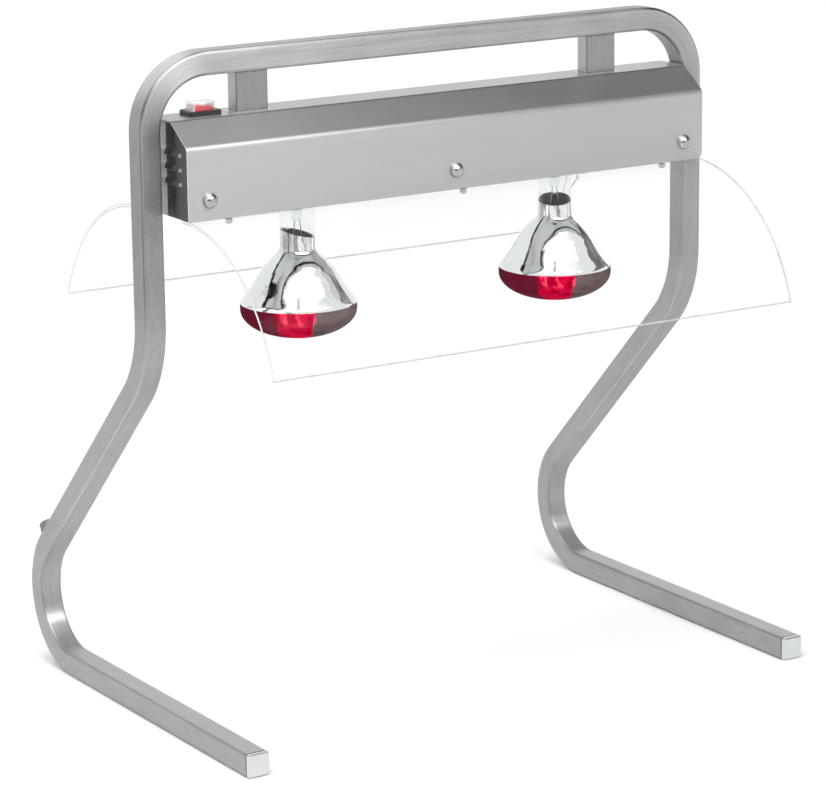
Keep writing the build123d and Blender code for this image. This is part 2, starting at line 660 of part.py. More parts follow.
rock_z = top + 1.0
rest_tilt = 7.0
with BuildPart() as switch_rocker:
    with BuildSketch(Plane(origin=(switch_x, y0, rock_z), x_dir=(cos(radians(rest_tilt)), 0, -sin(radians(rest_tilt))),
                           z_dir=(0, -1, 0))):
        with BuildLine():
            Line((-9.4, -2.4), (-9.8, 7.6))
            Line((-9.8, 7.6), (-8.8, 8.7))
            ThreePointArc((-8.8, 8.7), (0, 8.1), (8.8, 8.7))
            Line((8.8, 8.7), (9.8, 7.6))
            Line((9.8, 7.6), (9.4, -2.4))
            Line((9.4, -2.4), (3.6, -6.8))
            Line((3.6, -6.8), (-3.6, -6.8))
            Line((-3.6, -6.8), (-9.4, -2.4))
        make_face()
    extrude(amount=5.8, both=True)
    # pivot pins
    with BuildSketch(Plane(origin=(switch_x, y0, rock_z), x_dir=(1, 0, 0), z_dir=(0, -1, 0))):
        Circle(1.2)
    extrude(amount=8.6, both=True)
save(switch_rocker.part, "switch_rocker")

with BuildPart() as switch_boot:
    with BuildSketch(Plane.XY.offset(top + 3.0)):
        with Locations((switch_x, y0)):
            RectangleRounded(30.6, 21.0, 1.0)
    extrude(amount=1.2)
    with BuildSketch(Plane.XY.offset(top + 4.2)):
        with Locations((switch_x, y0)):
            RectangleRounded(25.4, 18.0, 2.0)
    with BuildSketch(Plane.XY.offset(top + 12.0)):
        with Locations((switch_x, y0)):
            RectangleRounded(23.8, 17.4, 2.0)
    loft()
    with BuildSketch(Plane.XY.offset(top + 12.0)):
        with Locations((switch_x, y0)):
            RectangleRounded(24.6, 19.0, 1.6)
    extrude(amount=1.2)
    with BuildSketch(Plane.XY.offset(top + 2.9)):
        with Locations((switch_x, y0)):
            RectangleRounded(23.6, 16.2, 1.2)
    with BuildSketch(Plane.XY.offset(top + 12.0)):
        with Locations((switch_x, y0)):
            RectangleRounded(22.2, 15.6, 1.2)
    loft(mode=Mode.SUBTRACT)
save(switch_boot.part, "switch_boot")

with BuildPart() as switch_blades:
    with BuildSketch(Plane.XY.offset(top - 34.0)):
        with Locations(*[(switch_x + dx, y0 + dy) for dx in (-7.5, 7.5) for dy in (-4.8, 4.8)]):
            Rectangle(0.8, 6.3)
    extrude(amount=10.0)
save(switch_blades.part, "switch_blades")

# ---------------------------------------------------------------- terminal block and earth stud
block_x = -232.0
with BuildPart() as terminal_block:
    with BuildSketch(Plane.XY.offset(house_low + sheet)):
        with Locations((block_x, y0 + 20)):
            RectangleRounded(34.0, 18.0, 1.5)
    extrude(amount=15.0)
    with BuildSketch(Plane.XY.offset(house_low + sheet + 6.0)):
        with Locations(*[(block_x + d, y0 + 20) for d in (-10.5, 0, 10.5)]):
            Circle(3.2)
    extrude(amount=12.0, mode=Mode.SUBTRACT)
save(terminal_block.part, "terminal_block")

with BuildPart() as terminal_screws:
    with BuildSketch(Plane.XY.offset(house_low + sheet + 6.0)):
        with Locations(*[(block_x + d, y0 + 20) for d in (-10.5, 0, 10.5)]):
            Circle(3.0)
    extrude(amount=6.5)
    with BuildSketch(Plane.XY.offset(house_low + sheet + 11.5)):
        with Locations(*[(block_x + d, y0 + 20) for d in (-10.5, 0, 10.5)]):
            Rectangle(5.0, 0.8)
    extrude(amount=2.0, mode=Mode.SUBTRACT)
save(terminal_screws.part, "terminal_screws")

with BuildPart() as earth_stud:
    with BuildSketch(Plane.XY.offset(house_low + sheet)):
        with Locations((block_x, y0 - 26)):
            Circle(2.0)
    extrude(amount=13.0)
    with BuildSketch(Plane.XY.offset(house_low + sheet)):
        with Locations((block_x, y0 - 26)):
            RegularPolygon(3.5, 6, major_radius=False)
    extrude(amount=3.2)
    with BuildSketch(Plane.XY.offset(house_low + sheet + 6.2)):
        with Locations((block_x, y0 - 26)):
            RegularPolygon(3.5, 6, major_radius=False)
    extrude(amount=3.2)
save(earth_stud.part, "earth_stud")

# ---------------------------------------------------------------- internal leads
z_block = house_low + sheet + 15.3
lead_r = 1.2
runs = {
    "wire_live": [
        [(block_x - 10.5, y0 + 20, z_block), (block_x - 10.5, y0 + 20, 559), (block_x - 16, y0 + 15, 570),
         (switch_x + 8, y0 + 7, 578), (switch_x + 7.5, y0 + 4.8, 591.6)],
        [(switch_x + 7.5, y0 - 4.8, 591.6), (switch_x + 9, y0 - 7, 580), (-236, y0 - 16, 576), (-205, y0 - 28, 586),
         (-lamp_x - 20, y0 - 31, 601), (-lamp_x + 2, y0 - 18, 606), (-lamp_x + 14.5, y0 - 4, 601), (-lamp_x + 14.5, y0, 587.2)],
        [(-lamp_x + 16.5, y0 - 4, 587.2), (-lamp_x + 17, y0 - 7, 598), (-lamp_x + 30, y0 - 20, 603), (-85, y0 - 33, 598),
         (-40, y0 - 30, 602), (15, y0 - 34, 599), (65, y0 - 30, 603), (lamp_x - 50, y0 - 33, 600), (lamp_x - 14, y0 - 28, 604),
         (lamp_x + 10, y0 - 12, 602), (lamp_x + 14.5, y0, 587.2)],
    ],
    "wire_neutral": [
        [(block_x + 10.5, y0 + 20, z_block), (block_x + 10.5, y0 + 20.5, 560), (block_x + 17, y0 + 25, 574), (-190, y0 + 34, 590),
         (-lamp_x - 6, y0 + 32, 601), (-lamp_x + 2, y0 + 20, 600), (-lamp_x + 3, y0 + 12, 587.2)],
        [(-lamp_x - 3, y0 + 12, 587.2), (-lamp_x - 3, y0 + 16, 600), (-lamp_x + 14, y0 + 28, 608), (-lamp_x + 50, y0 + 36, 600),
         (-60, y0 + 33, 603), (-5, y0 + 37, 599), (50, y0 + 33, 602), (lamp_x - 55, y0 + 36, 599), (lamp_x - 14, y0 + 32, 603),
         (lamp_x + 2, y0 + 20, 600), (lamp_x + 3, y0 + 12, 587.2)],
    ],
    "wire_earth": [
        [(block_x, y0 + 20, z_block), (block_x, y0 + 17, 558), (block_x, y0 + 4, 567), (block_x, y0 - 14, 565),
         (block_x, y0 - 25, 556), (block_x, y0 - 26, 545.0)],
    ],
}
for name, paths in runs.items():
    with BuildPart() as wire:
        for pts in paths:
            with BuildLine() as route:
                FilletPolyline(*pts, radius=lead_radii(pts))
            with BuildSketch(Plane(origin=pts[0], z_dir=Vector(*pts[1]) - Vector(*pts[0]))):
                Circle(lead_r)
            sweep()
            run = sum(e.length for e in route.line.edges())
            print(name, "length", round(run, 1), "section x length", round(pi * lead_r ** 2 * run, 1),
                  "radii", [round(r, 1) for r in lead_radii(pts)])
    print(name, "volume", round(wire.part.volume, 1))
    save(wire.part, name)

# ---------------------------------------------------------------- cord gland on the left leg
with BuildPart() as gland_body:
    with BuildSketch(gland_plane):
        RegularPolygon(8.4, 6, major_radius=False)
        Circle(3.4, mode=Mode.SUBTRACT)
    extrude(amount=4.2)
    with BuildSketch(gland_plane):
        Circle(6.0)
        Circle(3.4, mode=Mode.SUBTRACT)
    extrude(amount=-7.0)
    with BuildSketch(gland_plane.offset(4.2)):
        Circle(6.0)
        Circle(3.4, mode=Mode.SUBTRACT)
    extrude(amount=5.0)
save(gland_body.part, "gland_body")

with BuildPart() as gland_nut:
    with BuildSketch(gland_plane.offset(4.3)):
        Circle(8.1)
        Circle(6.05, mode=Mode.SUBTRACT)
    extrude(amount=5.0)
    with BuildSketch(gland_plane.offset(9.3)):
        Circle(8.1)
        Circle(3.8, mode=Mode.SUBTRACT)
    extrude(amount=3.4)
    fillet(gland_nut.faces().sort_by(Axis(gland_plane.origin, gland_plane.z_dir))[-1].outer_wire().edges(), 2.2)
save(gland_nut.part, "gland_nut")

with BuildPart() as gland_lock_nut:
    with BuildSketch(gland_plane.offset(-tube_wall - 0.45)):
        RegularPolygon(7.6, 6, major_radius=False)
        Circle(6.05, mode=Mode.SUBTRACT)
    extrude(amount=-3.2)
save(gland_lock_nut.part, "gland_lock_nut")
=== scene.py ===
import bpy, bmesh, math, random
import numpy as np
from mathutils import Vector, Matrix

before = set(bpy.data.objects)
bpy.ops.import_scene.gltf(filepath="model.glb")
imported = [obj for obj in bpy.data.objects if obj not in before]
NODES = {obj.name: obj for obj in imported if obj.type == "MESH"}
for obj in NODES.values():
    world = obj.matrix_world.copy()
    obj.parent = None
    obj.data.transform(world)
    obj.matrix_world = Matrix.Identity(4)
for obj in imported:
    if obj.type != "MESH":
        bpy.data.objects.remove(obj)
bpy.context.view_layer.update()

# ------------------------------------------------------------------ geometry facts, in metres
Y0 = -0.0285803            # plane of the uprights
LEG_X = 0.332
BAR_Z = 0.6792
KNEE_Z = 0.3732
HALF = 0.3145              # half length of the housing
TOP = 0.6268               # housing's flat top
LOW = 0.530                # housing's lower edge
LAMP_X = 0.1595
SWITCH_X = -0.2684


# ------------------------------------------------------------------ a small shader language
class S:
    """A value in a node tree, with arithmetic."""

    def __init__(self, g, sock):
        self.g, self.sock = g, sock

    def _m(self, op, *others, clamp=False):
        n = self.g.nt.nodes.new("ShaderNodeMath")
        n.operation, n.use_clamp = op, clamp
        for i, a in enumerate((self, *others)):
            if isinstance(a, S):
                self.g.nt.links.new(a.sock, n.inputs[i])
            else:
                n.inputs[i].default_value = float(a)
        return S(self.g, n.outputs[0])

    def __add__(self, o): return self._m("ADD", o)
    def __radd__(self, o): return self._m("ADD", o)
    def __sub__(self, o): return self._m("SUBTRACT", o)
    def __rsub__(self, o): return self.g.val(o)._m("SUBTRACT", self)
    def __mul__(self, o): return self._m("MULTIPLY", o)
    def __rmul__(self, o): return self._m("MULTIPLY", o)
    def __truediv__(self, o): return self._m("DIVIDE", o)
    def __neg__(self): return self._m("MULTIPLY", -1.0)
    def __gt__(self, o): return self._m("GREATER_THAN", o)
    def __lt__(self, o): return self._m("LESS_THAN", o)
    def abs(self): return self._m("ABSOLUTE")
    def sqrt(self): return self._m("SQRT")
    def sin(self): return self._m("SINE")
    def pow(self, o): return self._m("POWER", o)
    def max(self, o): return self._m("MAXIMUM", o)
    def min(self, o): return self._m("MINIMUM", o)
    def atan2(self, o): return self._m("ARCTAN2", o)
    def clamp(self): return self._m("ADD", 0.0, clamp=True)

    def step(self, a, b):
        """0 below a, 1 above b, smooth between."""
        n = self.g.nt.nodes.new("ShaderNodeMapRange")
        n.interpolation_type = "SMOOTHSTEP"
        self.g.nt.links.new(self.sock, n.inputs["Value"])
        lo, hi, t0, t1 = (a, b, 0.0, 1.0) if a <= b else (b, a, 1.0, 0.0)
        n.inputs["From Min"].default_value, n.inputs["From Max"].default_value = lo, hi
        n.inputs["To Min"].default_value, n.inputs["To Max"].default_value = t0, t1
        return S(self.g, n.outputs["Result"])

    def to(self, a, b):
        """A value from 0 to 1 spread from a to b."""
        return self * (b - a) + a


class Graph:
    def __init__(self, nt):
        self.nt = nt
        self._pos = None

    def val(self, v):
        n = self.nt.nodes.new("ShaderNodeValue")
        n.outputs[0].default_value = float(v)
        return S(self, n.outputs[0])

    def pos(self):
        if self._pos is None:
            t = self.nt.nodes.new("ShaderNodeTexCoord")
            s = self.nt.nodes.new("ShaderNodeSeparateXYZ")
            self.nt.links.new(t.outputs["Object"], s.inputs[0])
            self._pos = [S(self, s.outputs[i]) for i in range(3)]
        return self._pos

    def normal(self):
        t = self.nt.nodes.new("ShaderNodeTexCoord")
        s = self.nt.nodes.new("ShaderNodeSeparateXYZ")
        self.nt.links.new(t.outputs["Normal"], s.inputs[0])
        return [S(self, s.outputs[i]) for i in range(3)]

    def vec(self, x, y, z):
        n = self.nt.nodes.new("ShaderNodeCombineXYZ")
        for i, a in enumerate((x, y, z)):
            if isinstance(a, S):
                self.nt.links.new(a.sock, n.inputs[i])
            else:
                n.inputs[i].default_value = float(a)
        return n.outputs[0]

    def noise(self, vec, scale=1.0, detail=3.0, rough=0.55, distort=0.0):
        n = self.nt.nodes.new("ShaderNodeTexNoise")
        self.nt.links.new(vec, n.inputs["Vector"])
        n.inputs["Scale"].default_value = scale
        n.inputs["Detail"].default_value = detail
        n.inputs["Roughness"].default_value = rough
        n.inputs["Distortion"].default_value = distort
        return S(self, n.outputs[0])

    def voronoi(self, vec, scale=1.0, feature="F1"):
        n = self.nt.nodes.new("ShaderNodeTexVoronoi")
        n.feature = feature
        self.nt.links.new(vec, n.inputs["Vector"])
        n.inputs["Scale"].default_value = scale
        return S(self, n.outputs["Distance"])

    def ramp(self, fac, stops):
        n = self.nt.nodes.new("ShaderNodeValToRGB")
        self.nt.links.new(fac.sock, n.inputs[0])
        el = n.color_ramp.elements
        while len(el) < len(stops):
            el.new(0.5)
        for e, (p, c) in zip(el, stops):
            e.position, e.color = p, (*c, 1.0)
        return n.outputs[0]

    def mixc(self, fac, a, b):
        n = self.nt.nodes.new("ShaderNodeMix")
        n.data_type = "RGBA"
        if isinstance(fac, S):
            self.nt.links.new(fac.sock, n.inputs["Factor"])
        else:
            n.inputs["Factor"].default_value = fac
        for name, c in (("A", a), ("B", b)):
            sock = [i for i in n.inputs if i.name == name and i.type == "RGBA"][0]
            if isinstance(c, (tuple, list)):
                sock.default_value = (*c, 1.0)
            else:
                self.nt.links.new(c, sock)
        return [o for o in n.outputs if o.type == "RGBA"][0]

    def bump(self, height, strength=0.2, distance=0.001, normal=None):
        n = self.nt.nodes.new("ShaderNodeBump")
        n.inputs["Strength"].default_value = strength
        n.inputs["Distance"].default_value = distance
        self.nt.links.new(height.sock, n.inputs["Height"])
        if normal is not None:
            self.nt.links.new(normal, n.inputs["Normal"])
        return n.outputs[0]


def material(name, build, **consts):
    """A node material. build(g) returns {socket: value or link}; consts are set on the shader's own sockets."""
    m = bpy.data.materials.new(name)
    m.use_nodes = True
    nt = m.node_tree
    nt.nodes.clear()
    out = nt.nodes.new("ShaderNodeOutputMaterial")
    p = nt.nodes.new("ShaderNodeBsdfPrincipled")
    nt.links.new(p.outputs[0], out.inputs[0])
    g = Graph(nt)
    found = build(g) if build else {}
    for k, v in {**{c.replace("_", " "): x for c, x in consts.items()}, **found}.items():
        sock = p.inputs[k]
        if isinstance(v, S):
            nt.links.new(v.sock, sock)
        elif isinstance(v, bpy.types.NodeSocket):
            nt.links.new(v, sock)
        elif isinstance(v, tuple):
            sock.default_value = (*v, 1.0) if len(v) == 3 and sock.type == "RGBA" else v
        else:
            sock.default_value = v
    return m


def grey(g, lo, hi, fac, tint=(1.0, 1.0, 1.0)):
    return g.ramp(fac, [(0.0, tuple(lo * t for t in tint)), (1.0, tuple(hi * t for t in tint))])


# ------------------------------------------------------------------ metals
def tube_steel(kind, lo, hi, rough0, aniso=0.75):
    """Square tube, brushed along its length round every bend."""

    def build(g):
        x, y, z = g.pos()
        yy = y - Y0
        dark = None
        if kind == "bar":
            qx = (x.abs() - 0.267).max(0.0)
            qz = (z - 0.6142).max(0.0)
            a, b, s = (qx * qx + qz * qz).sqrt() - 0.065, yy, (LEG_X - x.abs()) - z
            right = (x > 0.0)
            along = g.vec(qz, 0.0, qx * (1.0 - right * 2.0))
        elif kind == "leg":
            a = x.abs() - LEG_X
            d2 = (yy + z - KNEE_Z) * 0.70711
            b1 = 0.115 - ((yy - 0.115) * (yy - 0.115) + (z - 0.42083) * (z - 0.42083)).sqrt()
            b2 = ((yy - 0.1893) * (yy - 0.1893) + (z - 0.0835) * (z - 0.0835)).sqrt() - 0.071
            s2 = ((yy - 0.115) - (z - 0.42083)) * 0.70711
            slant, low, foot, high = (s2 > 0.0), (s2 > 0.29105), (z < 0.030) * (yy < 0.1893), (z > 0.42083)
            n = b1 + (d2 - b1) * slant
            n = n + (b2 - n) * low
            n = n + (0.0125 - z - n) * foot
            n = n + (yy - n) * high
            b, s = n, yy - z
            ty, tz = 0.42083 - z, yy - 0.115
            ty, tz = ty + (0.1 - ty) * slant, tz + (-0.1 - tz) * slant
            ty, tz = ty + (0.0835 - z - ty) * low, tz + (yy - 0.1893 - tz) * low
            ty, tz = ty + (0.1 - ty) * foot, tz + (0.0 - tz) * foot
            ty, tz = ty + (0.0 - ty) * high, tz + (0.1 - tz) * high
            along = g.vec(0.0, ty, tz)
            dark = y.step(-0.2258, -0.2266)
        else:
            a, b, s = x, y, -z
            dark = z.step(0.6660, 0.6664).max(z.step(0.6276, 0.6270))
            along = g.vec(0.0, 0.0, 1.0)
        fine = g.noise(g.vec(a * 1500.0, b * 1500.0, s * 14.0), 1.0, 2.0, 0.6)
        mid = g.noise(g.vec(a * 420.0, b * 420.0, s * 7.0), 1.0, 3.0, 0.6)
        band = g.noise(g.vec(a * 160.0, b * 160.0, s * (9.0 if kind == "bar" else 26.0)), 1.0, 2.0, 0.5)
        pick = g.noise(g.vec(a * 900.0, b * 900.0, s * 260.0), 1.0, 2.0, 0.7)
        scratch = g.noise(g.vec(a * 2600.0, b * 2600.0, s * 55.0), 1.0, 1.0, 0.5).step(0.66, 0.74)
        cloud = g.noise(g.vec(x * 16.0, y * 16.0, z * 16.0), 1.0, 3.0, 0.55)
        w = {"bar": (0.30, 0.35, 0.42), "leg": (0.30, 0.22, 0.16), "post": (0.30, 0.14, 0.12)}[kind]
        f = fine * w[0] + mid * w[1] + band * w[2] + cloud * 0.34 + pick * 0.34 + (0.5 - 0.5 * (sum(w) + 0.68))
        if kind == "leg":
            # painted shade and light: the upper uprights painted darker than slants and feet, the right upright's upper
            # part and the feet's tops painted lighter
            f = f + z.step(0.46, 0.38).to(-0.21, -0.06) + (x > 0.0) * z.step(0.38, 0.46) * 0.18 + (z < 0.030) * (n < -0.0115) * 0.09
        elif kind == "bar":
            # painted shade and light: the bar's drops painted darker to meet the uprights, its top a shade lighter, the
            # right drop lighter again
            f = f + z.step(0.600, 0.665).to(-0.21, 0.08) + right * z.step(0.665, 0.600) * 0.18
        col = grey(g, lo, hi, f.clamp(), (1.0, 0.997, 0.985))
        if kind != "post":
            edge = (a.abs().min(b.abs())).step(0.0107, 0.0113)
            if kind == "leg":
                # painted shade and highlight along the tube's corners: dark lines on the uprights, stronger on the
                # left, a pale line on the slants, dark lines on the feet
                col = g.mixc(edge * z.step(0.40, 0.46) * ((x < 0.0) * 0.40 + 0.20), col, (0.07, 0.07, 0.07))
                col = g.mixc(edge * z.step(0.39, 0.35) * z.step(0.15, 0.19) * 0.30, col, (0.80, 0.80, 0.80))
                col = g.mixc(edge * z.step(0.13, 0.10) * 0.45, col, (0.12, 0.12, 0.12))
            else:
                # painted highlight along the straight bar's corners, painted shade on the corners round the top bends
                # to damp their reflection, and dark corner lines down the drops
                col = g.mixc(edge * x.abs().step(0.275, 0.262) * 0.35, col, (0.85, 0.85, 0.85))
                wide = (a.abs().min(b.abs())).step(0.0096, 0.0108)
                col = g.mixc(wide * x.abs().step(0.262, 0.280) * z.step(0.620, 0.640) * 0.72, col, (0.09, 0.09, 0.09))
                col = g.mixc(edge * z.step(0.640, 0.615) * ((x < 0.0) * 0.40 + 0.20), col, (0.07, 0.07, 0.07))
        else:
            # painted light: the posts' side faces painted lighter; painted shade on their rounded corners; the ends
            # keep dark joint marks
            wide = (x.abs() - 0.2137).abs()
            col = g.mixc(wide.step(0.0182, 0.0184) * 0.30, col, (0.72, 0.72, 0.72))
            corner = wide.step(0.0172, 0.0181) * yy.abs().step(0.0077, 0.0086)
            smear = g.noise(g.vec(x * 700.0, y * 700.0, z * 40.0), 1.0, 3.0, 0.6).step(0.50, 0.72)
            ends = z.step(0.6645, 0.6655).max(z.step(0.6288, 0.6278)) * smear
            col = g.mixc((corner * 0.75).max(ends * 0.8), col, (0.045, 0.045, 0.045))
        if dark is not None:
            col = g.mixc(dark * 0.8, col, (0.04, 0.04, 0.04))
        rough = fine.to(-0.07, 0.07) + cloud.to(-0.05, 0.07) + rough0 + scratch * 0.05
        bump = g.bump(fine * 0.5 + mid * 0.5 - scratch * 0.5, 0.26, 0.00022)
        return {"Base Color": col, "Roughness": rough, "Normal": bump, "Tangent": along}

    return material("steel_tube_" + kind, build, Metallic=1.0, Anisotropic=aniso, Anisotropic_Rotation=0.25)


def sheet_steel(name, lo, hi, rough0, along="x", strength=0.22, tint=(0.985, 1.0, 1.0), cut=None, aniso=0.6, painted_reflection_half_width=None):
    """Brushed sheet, grain along one axis; cut is the |x| beyond which its end edge gets a painted highlight,
    the last argument the half width of a rougher strip down its middle painted paler, a painted reflection."""

    def build(g):
        x, y, z = g.pos()
        if along == "x":
            v = lambda k, l: g.vec(x * l, y * k, z * k)
            grain = g.vec(1.0, 0.0, 0.0)
        else:
            v = lambda k, l: g.vec(x * k, y * k, z * l)
            grain = g.vec(0.0, 0.0, 1.0)
        fine = g.noise(v(1500.0, 7.0), 1.0, 2.0, 0.6)
        mid = g.noise(v(330.0, 3.0), 1.0, 3.0, 0.6)
        scratch = g.noise(v(2400.0, 26.0), 1.0, 1.0, 0.5).step(0.68, 0.75)
        cloud = g.noise(g.vec(x * 7.0, y * 7.0, z * 7.0), 1.0, 3.0, 0.6)
        f = (fine * 0.45 + mid * 0.35 + cloud * 0.30 - 0.05).clamp()
        col = grey(g, lo, hi, f, tint)
        if cut:
            # painted highlight on the sheet's cut end edge
            end = x.abs().step(cut - 0.0003, cut - 0.00005)
            col = g.mixc(end, col, (0.95, 0.96, 0.96))
            yy = y - Y0
            nz = g.normal()[2]
            # painted shade: the sloping faces painted darker
            slope = nz.step(0.55, 0.72) * nz.step(0.985, 0.95)
            col = g.mixc(slope * 0.34, col, (0.19, 0.195, 0.195))
            # painted shade in the folds between top and slopes, and a painted highlight as a paler ring round the
            # posts' feet
            fold_shade = (yy.abs() - 0.0222).abs().step(0.0013, 0.0004) * z.step(0.6240, 0.6246)
            col = g.mixc(fold_shade * 0.55, col, (0.10, 0.10, 0.10))
            px = ((x.abs() - 0.2137).abs() - 0.0185).max(0.0)
            py = (yy.abs() - 0.0090).max(0.0)
            away = (px * px + py * py).sqrt() + g.noise(g.vec(x * 260.0, y * 260.0, z * 260.0), 1.0, 2.0, 0.5).to(-0.0016, 0.0016)
            # painted highlight: a paler ring round the posts' feet
            col = g.mixc(away.step(0.0034, 0.0018) * z.step(0.6262, 0.6266) * 0.75, col, (0.88, 0.88, 0.87))
        rough = fine.to(-0.06, 0.06) + cloud.to(-0.05, 0.06) + rough0 + scratch * 0.05
        if painted_reflection_half_width:
            # painted reflection: a strip down the middle painted paler and made rougher
            painted_reflection_strip = (y - Y0).abs().step(painted_reflection_half_width + 0.0006, painted_reflection_half_width - 0.0006)
            col = g.mixc(painted_reflection_strip, col, (0.86, 0.87, 0.87))
            rough = rough + painted_reflection_strip * 0.42
            # painted shade on the sloping ends of the louvres above their lips
            pitch = (z - 0.5638)._m("FLOORED_MODULO", 0.0146)
            louvre_end_shade = g.normal()[1].abs().step(0.35, 0.55) * pitch.step(0.0028, 0.0044)
            col = g.mixc(louvre_end_shade * 0.85, col, (0.05, 0.05, 0.05))
        return {"Base Color": col, "Roughness": rough, "Tangent": grain,
                "Normal": g.bump(fine * 0.6 + mid * 0.4 - scratch * 0.5, strength, 0.0002)}

    return material(name, build, Metallic=1.0, Anisotropic=aniso, Anisotropic_Rotation=0.25)


def polished(name, lo, hi, rough0, tint=(1, 1, 1), wear=0.5, scale=900.0):
    """Plated or polished metal with faint marks."""

    def build(g):
        x, y, z = g.pos()
        n = g.noise(g.vec(x, y, z), scale, 3.0, 0.6)
        c = g.noise(g.vec(x, y, z), 60.0, 4.0, 0.6)
        return {"Base Color": grey(g, lo, hi, c, tint), "Roughness": (c.to(-0.04, 0.06) + n.to(-0.03, 0.03)) * wear + rough0,
                "Normal": g.bump(n, 0.06 * wear, 0.0002)}

    return material(name, build, Metallic=1.0)


M_BAR = tube_steel("bar", 0.18, 0.60, 0.40)
M_LEG = tube_steel("leg", 0.18, 0.60, 0.40)
M_POST = tube_steel("post", 0.18, 0.46, 0.38)
M_COVER = sheet_steel("steel_cover", 0.42, 0.54, 0.38, "x", cut=HALF)
M_PAN = sheet_steel("steel_pan", 0.56, 0.70, 0.30, "x")
M_PLATE = sheet_steel("steel_end_plate", 0.26, 0.34, 0.20, "z", 0.08, aniso=0.0, painted_reflection_half_width=0.0088)
M_CAP = polished("bright_cap", 0.58, 0.70, 0.20, (0.97, 1.0, 1.0))
M_CHROME = polished("chrome", 0.38, 0.50, 0.08, wear=0.6)
M_ZINC = polished("zinc_plate", 0.42, 0.62, 0.30, (1.0, 0.995, 0.96), wear=1.0)
M_BRASS = polished("brass", 0.62, 0.82, 0.25, (1.0, 0.80, 0.45), wear=1.0)
M_NICKEL = polished("nickel_cap", 0.60, 0.76, 0.22, (1.0, 0.97, 0.90), wear=1.0)
M_TUNGSTEN = polished("tungsten", 0.22, 0.38, 0.35)


def mirror_build(g):
    x, y, z = g.pos()
    lx = x.abs() - LAMP_X
    v = g.vec(lx, y, z)
    ripple = g.noise(v, 55.0, 2.0, 0.5, 0.4)
    haze = g.noise(v, 30.0, 4.0, 0.6)
    dust = g.noise(v, 900.0, 1.0, 0.5).step(0.70, 0.80)
    # painted reflections: dark runs and streaks towards the neck, and a dark mark at the front
    side = (x > 0.0)
    lxs = (x - LAMP_X) * side + (x + LAMP_X) * (1.0 - side)
    ang = (y - Y0).atan2(lxs)
    warp = g.noise(g.vec(lxs, y, z), 70.0, 2.0, 0.6)
    run = g.noise(g.vec(ang * 3.1 + warp * 1.4, z * 16.0, side * 3.0), 1.0, 4.0, 0.65, 0.6)
    dark_reflection_runs = run.step(0.45, 0.57) * z.step(0.468, 0.482) * 0.70
    streak = g.noise(g.vec(ang * 1.9 + warp * 0.9 + 5.0, z * 5.0, side * 7.0), 1.0, 3.0, 0.6, 0.4).step(0.54, 0.62) * z.step(0.424, 0.432) * 0.34
    mark = (ang + 2.098 + side * 0.072).abs().step(0.040, 0.022) * z.step(0.4240, 0.4262) * z.step(0.4385, 0.4350) * 0.92
    col = g.mixc(dark_reflection_runs.max(streak).max(mark), grey(g, 0.74, 0.88, haze, (0.985, 1.0, 1.0)), (0.12, 0.12, 0.12))
    return {"Base Color": col,
            "Roughness": haze.to(0.0, 0.10) + 0.03 + dust * 0.10,
            "Normal": g.bump(ripple, 0.35, 0.0016)}


M_MIRROR = material("silvered_glass", mirror_build, Metallic=1.0)


def red_build(g):
    """Ruby glass over the mirrored inside, dark all round, with painted light: glowing fields painted where the inside
    would show through, and a painted brown-grey reflection down one side.
    """
    x, y, z = g.pos()
    lx = x.abs() - LAMP_X
    ly = y - Y0
    side = (x > 0.0)
    lxs = (x - LAMP_X) * side + (x + LAMP_X) * (1.0 - side)
    ang = ly.atan2(lxs)                                   # -pi..pi round the lamp
    v = g.vec(lxs, ly, z)
    warp = g.noise(v, 60.0, 2.0, 0.5)
    turn = (ang + 2.129 + warp * 0.16 - 0.04 - side * 0.02) * 3.0
    # cosine of three times the angle: three painted glowing fields, one towards the front left
    field = (turn + 1.5708).sin()
    glow = field.step(0.45, 0.62)
    spots = g.noise(g.vec(lxs * 1.0, ly * 1.0, z * 0.7), 105.0, 2.0, 0.5, 1.2)
    hot = spots.step(0.52, 0.60) * z.step(0.4065, 0.4125)
    c = g.noise(v, 22.0, 3.0, 0.55)
    # painted reflection: a brown-grey side on the dark glass
    brown = (ang + 2.079 + warp * 0.3).sin().step(0.12, 0.42)
    dark_glass_and_painted_reflection = g.mixc(brown, (0.115, 0.006, 0.020), (0.118, 0.080, 0.082))
    wisp = g.noise(g.vec(lxs * 60.0, ly * 60.0, z * 190.0), 1.0, 3.0, 0.6, 0.8)
    dark_glass_and_painted_reflection = g.mixc(wisp.step(0.50, 0.62) * 0.55, dark_glass_and_painted_reflection, (0.050, 0.010, 0.014))
    # painted light: the glowing fields' red, with hot spots near the top and darker patches
    lit = g.mixc(hot, (0.50, 0.001, 0.032), (0.92, 0.06, 0.11))
    lit = g.mixc(spots.step(0.50, 0.40) * 0.8, lit, (0.24, 0.0, 0.014))
    col = g.mixc(glow, dark_glass_and_painted_reflection, lit)
    fine = g.noise(v, 700.0, 2.0, 0.5)
    return {"Base Color": col, "Roughness": c.to(0.10, 0.20), "Normal": g.bump(c * 0.8 + fine * 0.02, 0.15, 0.0012)}


M_RED = material("ruby_glass", red_build, Specular_IOR_Level=0.0, Coat_Weight=0.04, Coat_IOR=1.3, Coat_Roughness=0.06)


def clear(name, tint, rough=0.0, ior=1.47, bump=0.05, scale=60.0, dist=0.0006):
    def build(g):
        x, y, z = g.pos()
        v = g.vec(x, y, z)
        n = g.noise(v, scale, 2.0, 0.5)
        s = g.noise(v, 500.0, 2.0, 0.6).step(0.66, 0.80)
        return {"Base Color": grey(g, 0.97, 1.0, n, tint), "Roughness": s * 0.06 + rough,
                "Normal": g.bump(n, bump, dist)}

    return material(name, build, Transmission_Weight=1.0, IOR=ior)


M_GLASS = clear("clear_glass", (0.97, 0.975, 0.975), 0.0, 1.40, 0.06)
M_STEM = clear("stem_glass", (0.93, 0.95, 0.95), 0.02, 1.40, 0.2)


